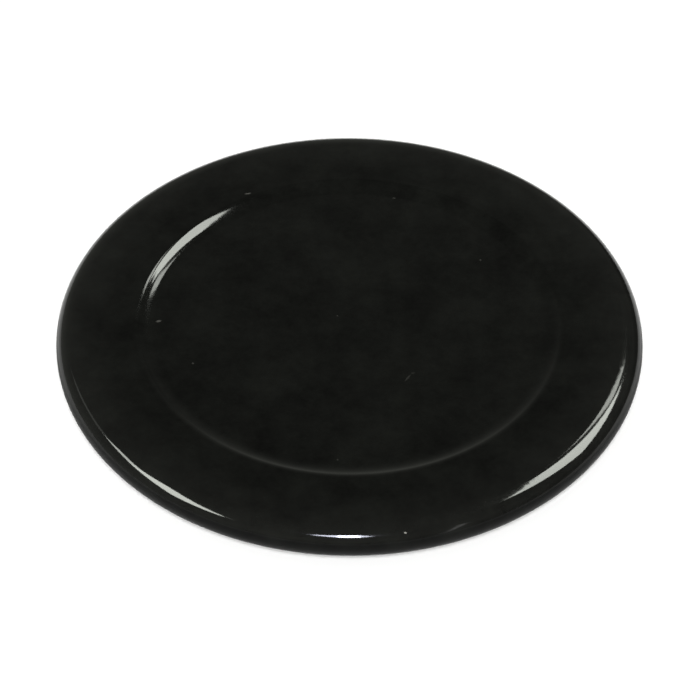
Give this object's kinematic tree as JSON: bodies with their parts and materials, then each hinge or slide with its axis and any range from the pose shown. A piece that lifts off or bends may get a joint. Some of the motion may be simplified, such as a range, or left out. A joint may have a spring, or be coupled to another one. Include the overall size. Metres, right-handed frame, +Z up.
{
  "type": "gas burner cap",
  "caption": "Round enamelled steel cap with a full-round edge, a shallow dish in its top and a locating boss underneath, that closes the top of a gas hob burner.",
  "frame": {"origin": "on the axis, on the underside of the locating boss, which is the plane the cap stands on when it lies on a table", "axes": "+Z up along the axis, from the boss to the dished top; +X and +Y are free, because the cap is round"},
  "size_m": [0.075, 0.075, 0.0059],
  "materials": {
    "black_enamel": "gloss black vitreous enamel fired on pressed steel"
  },
  "bodies": {
    "root": {"burner_cap": "black_enamel"}
  },
  "joints": []
}
